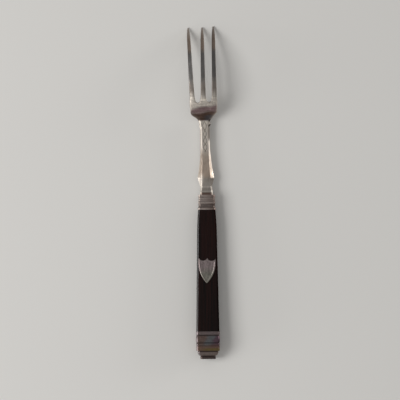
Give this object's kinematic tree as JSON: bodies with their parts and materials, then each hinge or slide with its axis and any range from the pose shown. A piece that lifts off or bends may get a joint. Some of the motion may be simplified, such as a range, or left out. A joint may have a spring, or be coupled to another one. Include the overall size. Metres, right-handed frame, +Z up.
{
  "type": "table fork",
  "caption": "Old table fork with long pointed tines, a faceted steel shank, a bevelled dark wood handle, a ribbed ferrule, an inlaid shield and a stepped end cap.",
  "frame": {"origin": "on the table, under the middle of the fork's bounding box as it lies face down", "axes": "+Y towards the points of the tines, +X to the right as seen from above, +Z up from the table"},
  "size_m": [0.0182, 0.1998, 0.0144],
  "materials": {
    "forged_steel": "old forged steel, worn bright on the edges, with thin grey and brown tarnish",
    "resin_cement": "hard brown cutler's resin, dull",
    "ferrule_silver": "silver plate, rosy grey tarnish, brighter on the ribs",
    "ebony": "dark ebony, hand polished, fine straight grain",
    "shield_silver": "silver, mottled grey tarnish and fine scratches",
    "cap_silver": "silver plate, brown, blue, violet and golden tarnish"
  },
  "bodies": {
    "root": {"steel_head": "forged_steel", "tang_cement": "resin_cement", "front_ferrule": "ferrule_silver", "wooden_handle": "ebony", "shield_inlay": "shield_silver", "end_cap": "cap_silver"}
  },
  "joints": []
}
